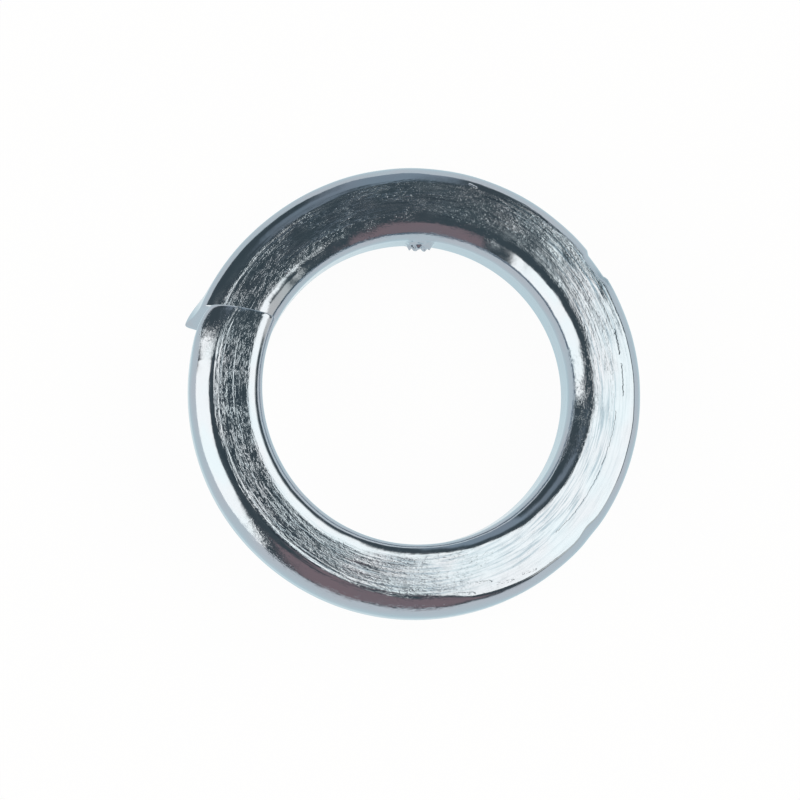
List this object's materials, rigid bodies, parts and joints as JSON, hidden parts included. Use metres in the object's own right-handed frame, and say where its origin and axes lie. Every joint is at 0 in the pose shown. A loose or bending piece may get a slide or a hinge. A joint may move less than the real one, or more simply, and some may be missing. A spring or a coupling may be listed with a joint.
{
  "type": "spring lock washer",
  "caption": "Split ring of square spring wire coiled one turn, its sheared ends standing apart in height, that keeps a bolted joint tight.",
  "frame": {"origin": "on the bore axis, level with the underside of the lower end at the split", "axes": "+Z along the bore axis, from the lower end towards the raised end; the split faces -Y; seen from +Z the coil climbs clockwise"},
  "size_m": [0.0156, 0.016, 0.005],
  "materials": {
    "zinc_plate": "bright blue-white zinc plate over spring steel, with fine drawing lines"
  },
  "bodies": {
    "root": {"spring_washer": "zinc_plate"}
  },
  "joints": []
}
